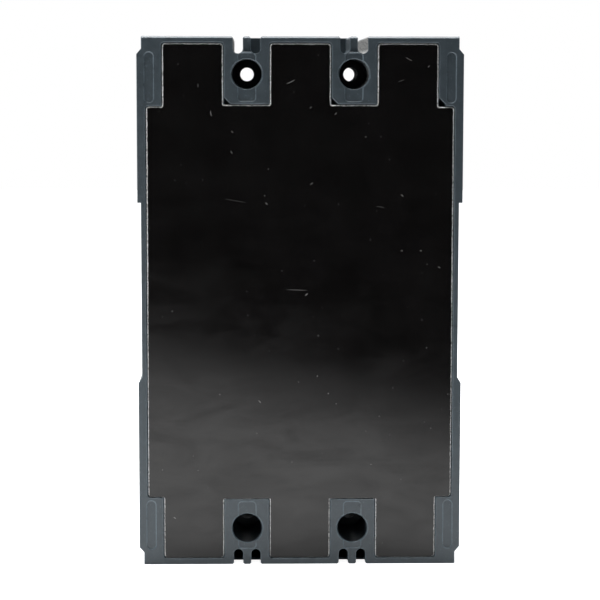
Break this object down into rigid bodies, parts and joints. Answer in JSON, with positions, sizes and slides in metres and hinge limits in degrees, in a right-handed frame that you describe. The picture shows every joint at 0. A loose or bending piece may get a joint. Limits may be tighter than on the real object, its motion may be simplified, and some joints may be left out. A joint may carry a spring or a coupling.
{
  "type": "molded case circuit breaker",
  "caption": "Upright moulded-case breaker with a swinging handle, a trip button, screw terminals in end compartments, arc chutes, contacts, toggle mechanism and trip unit inside.",
  "frame": {"origin": "centre of the mounting screw pattern, on the back face", "axes": "+Z towards the line end (up), X across the poles, +Y out of the back; the handle faces -Y"},
  "size_m": [0.0914, 0.0845, 0.15],
  "materials": {
    "case_moulding": "satin glass-filled moulding, fine grain",
    "back_sheet": "smooth black insulating sheet with faint scuffs and dust",
    "front_moulding": "satin moulding, fine grain",
    "label": "bare printed-label stock, no print",
    "handle_moulding": "satin black moulding",
    "plated_screws": "zinc plated",
    "copper": "plain copper strip, slightly tarnished",
    "braided_copper": "woven fine copper wire",
    "contact_silver": "silver alloy, matt",
    "arc_steel": "copper-flashed steel sheet",
    "fibre": "vulcanised fibre sheet",
    "bimetal_strip": "rolled bimetal",
    "magnet_steel": "zinc plated sheet steel",
    "brass_screws": "turned brass",
    "frame_steel": "zinc plated sheet steel",
    "pin_steel": "ground steel",
    "spring_steel": "drawn wire",
    "bar_moulding": "dark thermoset moulding",
    "button_red": "red moulding"
  },
  "bodies": {
    "case": {"base": "case_moulding", "back_plate": "back_sheet", "cover": "case_moulding", "front_panel": "front_moulding", "label_plate": "label", "cover_screws": "plated_screws", "line_conductor_1": "copper", "line_conductor_2": "copper", "line_conductor_3": "copper", "fixed_contact_tips": "contact_silver", "load_terminal_1": "copper", "load_terminal_2": "copper", "load_terminal_3": "copper", "terminal_screws": "plated_screws", "terminal_spring_washers": "plated_screws", "terminal_flat_washers": "plated_screws", "terminal_nuts": "plated_screws", "arc_plates_1": "arc_steel", "arc_plates_2": "arc_steel", "arc_plates_3": "arc_steel", "arc_chute_walls": "fibre", "vent_baffles": "fibre", "bimetal_1": "bimetal_strip", "bimetal_2": "bimetal_strip", "bimetal_3": "bimetal_strip", "magnet_yoke_1": "magnet_steel", "magnet_yoke_2": "magnet_steel", "magnet_yoke_3": "magnet_steel", "calibration_screws": "brass_screws", "mechanism_frame_left": "frame_steel", "mechanism_frame_right": "frame_steel", "braid_1": "braided_copper", "braid_2": "braided_copper", "braid_3": "braided_copper", "link_pivot_pin": "pin_steel", "cradle": "frame_steel", "cradle_pin": "pin_steel", "latch_pin": "pin_steel", "trip_button_spring": "spring_steel"},
    "handle": {"handle": "handle_moulding", "handle_yoke": "frame_steel", "main_springs": "spring_steel"},
    "crossbar": {"crossbar": "bar_moulding", "crossbar_drive_pins": "pin_steel", "arm_pins": "pin_steel", "contact_arm_1": "copper", "contact_arm_2": "copper", "contact_arm_3": "copper", "moving_contact_tips": "contact_silver", "contact_springs": "spring_steel"},
    "upper_links": {"upper_links": "frame_steel", "toggle_pin": "pin_steel"},
    "lower_links": {"lower_links": "frame_steel"},
    "trip_bar": {"trip_bar": "bar_moulding"},
    "trip_button": {"trip_button": "button_red"},
    "latch": {"latch": "frame_steel"},
    "armature_1": {"armature_1": "magnet_steel"},
    "armature_2": {"armature_2": "magnet_steel"},
    "armature_3": {"armature_3": "magnet_steel"}
  },
  "joints": [
    {"name": "handle_swing", "type": "hinge", "parent": "case", "child": "handle", "pos_m": [0, -0.027, 0], "axis": [1, 0, 0], "range_deg": [-30, 0], "deforming": ["main_springs"]},
    {"name": "crossbar_swing", "type": "hinge", "parent": "case", "child": "crossbar", "pos_m": [0, -0.02, -0.009], "axis": [1, 0, 0], "range_deg": [-24, 0], "deforming": ["braid_1", "braid_2", "braid_3", "contact_springs"]},
    {"name": "upper_links_fold", "type": "hinge", "parent": "case", "child": "upper_links", "pos_m": [0, -0.04173, 0], "axis": [1, 0, 0], "range_deg": [0, 25.9]},
    {"name": "lower_links_fold", "type": "hinge", "parent": "upper_links", "child": "lower_links", "pos_m": [0, -0.03203, -0.00671], "axis": [1, 0, 0], "range_deg": [-50.9, 0]},
    {"name": "trip_bar_turn", "type": "hinge", "parent": "case", "child": "trip_bar", "pos_m": [0, -0.0365, -0.031], "axis": [1, 0, 0], "range_deg": [0, 20], "stiffness_Nm_per_rad": 0.013, "springref_deg": -9.74},
    {"name": "trip_button_press", "type": "slide", "parent": "case", "child": "trip_button", "axis": [0, 1, 0], "range_m": [0, 0.002], "deforming": ["trip_button_spring"]},
    {"name": "latch_turn", "type": "hinge", "parent": "case", "child": "latch", "pos_m": [0, -0.036, -0.025], "axis": [1, 0, 0], "range_deg": [0, 10]},
    {"name": "armature_1_swing", "type": "hinge", "parent": "case", "child": "armature_1", "pos_m": [0, -0.0135, -0.046], "axis": [1, 0, 0], "range_deg": [-6, 0], "stiffness_Nm_per_rad": 0.02, "springref_deg": 5.73},
    {"name": "armature_2_swing", "type": "hinge", "parent": "case", "child": "armature_2", "pos_m": [0, -0.0135, -0.046], "axis": [1, 0, 0], "range_deg": [-6, 0], "stiffness_Nm_per_rad": 0.02, "springref_deg": 5.73},
    {"name": "armature_3_swing", "type": "hinge", "parent": "case", "child": "armature_3", "pos_m": [0, -0.0135, -0.046], "axis": [1, 0, 0], "range_deg": [-6, 0], "stiffness_Nm_per_rad": 0.02, "springref_deg": 5.73}
  ],
  "couplings": [
    {"joint": "crossbar_swing", "follows": "handle_swing", "ratio": 0.8},
    {"joint": "upper_links_fold", "follows": "handle_swing", "ratio": -0.863},
    {"joint": "lower_links_fold", "follows": "handle_swing", "ratio": 1.6947},
    {"joint": "trip_button_press", "follows": "trip_bar_turn", "m_per_rad": 0.0057296},
    {"joint": "latch_turn", "follows": "trip_bar_turn", "ratio": 0.5}
  ]
}
